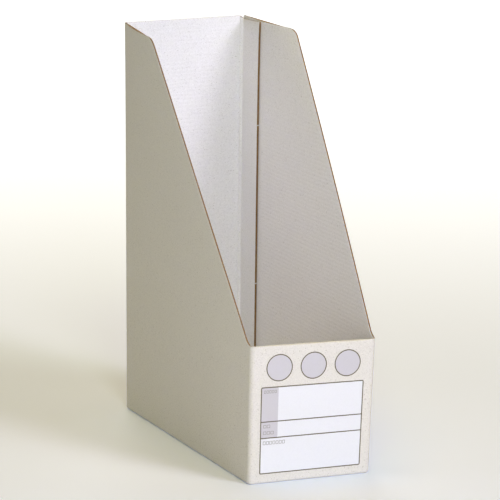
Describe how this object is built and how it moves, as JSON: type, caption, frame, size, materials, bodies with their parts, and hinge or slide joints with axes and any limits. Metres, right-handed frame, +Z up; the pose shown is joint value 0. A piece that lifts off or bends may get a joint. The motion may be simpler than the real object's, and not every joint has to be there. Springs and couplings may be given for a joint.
{
  "type": "magazine file holder",
  "caption": "Upright open-top file holder folded from corrugated board, with sloping side walls, a low double front, a glued back corner and hinged bottom flaps.",
  "frame": {"origin": "middle of the footprint, on the floor", "axes": "+Z up; the low front faces -Y and the tall back +Y; +X is to the right as seen from the front"},
  "size_m": [0.102, 0.255, 0.318],
  "materials": {
    "outer_liner": "matte",
    "inner_liner": "matte",
    "fluting": "matte",
    "adhesive": "satin",
    "print_ink": "matte",
    "label_field": "matte",
    "label_tint": "matte"
  },
  "bodies": {
    "left_wall": {"left_wall_outer_liner": "outer_liner", "left_wall_fluting": "fluting", "left_wall_inner_liner": "inner_liner"},
    "right_wall": {"right_wall_outer_liner": "outer_liner", "right_wall_fluting": "fluting", "right_wall_inner_liner": "inner_liner"},
    "front_wall": {"front_wall_outer_liner": "outer_liner", "front_wall_fluting": "fluting", "front_wall_inner_liner": "inner_liner"},
    "back_wall": {"back_wall_outer_liner": "outer_liner", "back_wall_fluting": "fluting", "back_wall_inner_liner": "inner_liner"},
    "front_inner_flap": {"front_inner_flap_outer_liner": "outer_liner", "front_inner_flap_fluting": "fluting", "front_inner_flap_inner_liner": "inner_liner"},
    "glue_flap": {"glue_flap_outer_liner": "outer_liner", "glue_flap_fluting": "fluting", "glue_flap_inner_liner": "inner_liner", "glue_film": "adhesive"},
    "bottom_right_flap": {"bottom_right_flap_outer_liner": "outer_liner", "bottom_right_flap_fluting": "fluting", "bottom_right_flap_inner_liner": "inner_liner"},
    "bottom_left_flap": {"bottom_left_flap_outer_liner": "outer_liner", "bottom_left_flap_fluting": "fluting", "bottom_left_flap_inner_liner": "inner_liner"},
    "bottom_front_flap": {"bottom_front_flap_outer_liner": "outer_liner", "bottom_front_flap_fluting": "fluting", "bottom_front_flap_inner_liner": "inner_liner"},
    "bottom_back_flap": {"bottom_back_flap_outer_liner": "outer_liner", "bottom_back_flap_fluting": "fluting", "bottom_back_flap_inner_liner": "inner_liner"}
  },
  "joints": [
    {"name": "front_left_crease", "type": "hinge", "parent": "left_wall", "child": "front_wall", "pos_m": [-0.051, -0.1275, 0], "axis": [0, 0, -1], "range_deg": [0, 80]},
    {"name": "front_right_crease", "type": "hinge", "parent": "front_wall", "child": "right_wall", "pos_m": [0.0494, -0.1259, 0], "axis": [0, 0, 1], "range_deg": [0, 80]},
    {"name": "back_left_crease", "type": "hinge", "parent": "left_wall", "child": "back_wall", "pos_m": [-0.0494, 0.1259, 0], "axis": [0, 0, -1], "range_deg": [0, 80]},
    {"name": "glue_flap_crease", "type": "hinge", "parent": "back_wall", "child": "glue_flap", "pos_m": [0.051, 0.1275, 0], "axis": [0, 0, 1], "range_deg": [0, 80]},
    {"name": "front_top_fold", "type": "hinge", "parent": "front_wall", "child": "front_inner_flap", "pos_m": [0, -0.12575, 0.108], "axis": [1, 0, 0], "range_deg": [0, 180]},
    {"name": "bottom_left_crease", "type": "hinge", "parent": "left_wall", "child": "bottom_left_flap", "pos_m": [-0.051, 0, 0], "axis": [0, 1, 0], "range_deg": [0, 90]},
    {"name": "bottom_right_crease", "type": "hinge", "parent": "right_wall", "child": "bottom_right_flap", "pos_m": [0.051, 0, 0], "axis": [0, -1, 0], "range_deg": [0, 90]},
    {"name": "bottom_front_crease", "type": "hinge", "parent": "front_wall", "child": "bottom_front_flap", "pos_m": [0, -0.1275, 0], "axis": [-1, 0, 0], "range_deg": [0, 90]},
    {"name": "bottom_back_crease", "type": "hinge", "parent": "back_wall", "child": "bottom_back_flap", "pos_m": [0, 0.1275, 0], "axis": [1, 0, 0], "range_deg": [0, 90]}
  ],
  "couplings": [
    {"joint": "front_right_crease", "follows": "front_left_crease", "ratio": 1},
    {"joint": "back_left_crease", "follows": "front_left_crease", "ratio": 1},
    {"joint": "glue_flap_crease", "follows": "front_left_crease", "ratio": 1},
    {"joint": "bottom_left_crease", "follows": "front_left_crease", "ratio": 1.125},
    {"joint": "bottom_right_crease", "follows": "front_left_crease", "ratio": 1.125},
    {"joint": "bottom_front_crease", "follows": "front_left_crease", "ratio": 1.125},
    {"joint": "bottom_back_crease", "follows": "front_left_crease", "ratio": 1.125}
  ]
}
